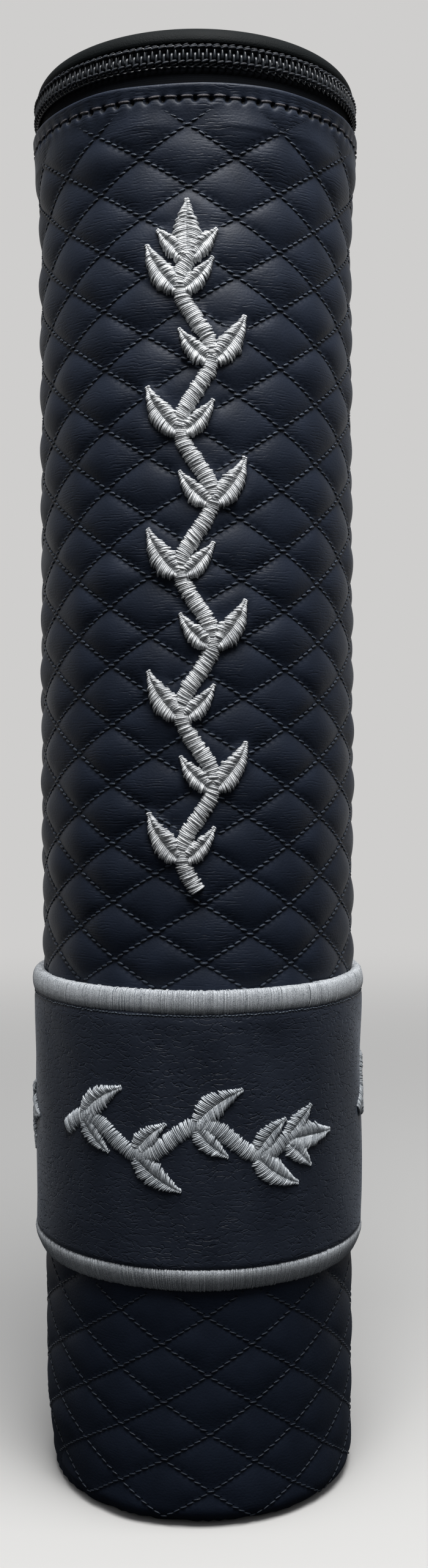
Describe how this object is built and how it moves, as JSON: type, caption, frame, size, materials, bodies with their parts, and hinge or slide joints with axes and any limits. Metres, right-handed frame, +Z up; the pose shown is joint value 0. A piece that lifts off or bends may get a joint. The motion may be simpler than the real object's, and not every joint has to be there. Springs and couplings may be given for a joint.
{
  "type": "megillah case",
  "caption": "Tall round quilted case for a rolled scroll, with a zip-around flip lid, a smooth band edged in satin stitch and raised leaf embroidery.",
  "frame": {"origin": "centre of the flat underside of the base", "axes": "+Z up along the case towards the lid, -Y towards the embroidered front; the lid hinges at the back, +Y"},
  "size_m": [0.0774, 0.0768, 0.3165],
  "materials": {
    "leatherette": "satin navy leatherette with fine creases",
    "band_leatherette": "smooth fine-pebbled navy leatherette",
    "board": "matt grey-brown board",
    "lining": "matt brushed cloth",
    "wadding": "soft white wadding",
    "blue_thread": "satin blue-grey embroidery thread",
    "pale_thread": "satin silver-grey embroidery thread",
    "zip_tape": "woven navy tape",
    "zip_coil": "dark nylon",
    "zip_metal": "plated zinc"
  },
  "bodies": {
    "case": {"base_cover": "leatherette", "base_board": "board", "tube_core": "board", "lining_floor": "lining", "lining_sleeve": "lining", "quilt_foam": "wadding", "quilted_sleeve": "leatherette", "smooth_band": "band_leatherette", "band_top_edging": "blue_thread", "band_bottom_edging": "blue_thread", "front_embroidery": "pale_thread", "band_embroidery_1": "pale_thread", "band_embroidery_2": "pale_thread", "band_embroidery_3": "pale_thread", "zip_lower_tape": "zip_tape", "zip_lower_coil": "zip_coil", "zip_top_stop_case": "zip_metal", "zip_bottom_stop": "zip_metal", "hinge_strip": "leatherette"},
    "lid": {"lid_cover": "leatherette", "lid_padding": "wadding", "lid_board": "board", "lid_lining": "lining", "zip_upper_tape": "zip_tape", "zip_upper_coil": "zip_coil", "zip_top_stop_lid": "zip_metal"},
    "slider": {"slider_outer_wing": "zip_metal", "slider_inner_wing": "zip_metal"},
    "puller": {"zip_pull": "zip_metal"}
  },
  "joints": [
    {"name": "lid_hinge", "type": "hinge", "parent": "case", "child": "lid", "pos_m": [0, 0.0355, 0.3065], "axis": [-1, 0, 0], "range_deg": [0, 135], "deforming": ["hinge_strip"]},
    {"name": "zip_travel", "type": "hinge", "parent": "case", "child": "slider", "pos_m": [0, 0, 0.3079], "axis": [0, 0, -1], "range_deg": [0, 240]},
    {"name": "pull_swing", "type": "hinge", "parent": "slider", "child": "puller", "pos_m": [0.03421, 0.01975, 0.3079], "axis": [0, 0, -1], "range_deg": [0, 170]}
  ]
}
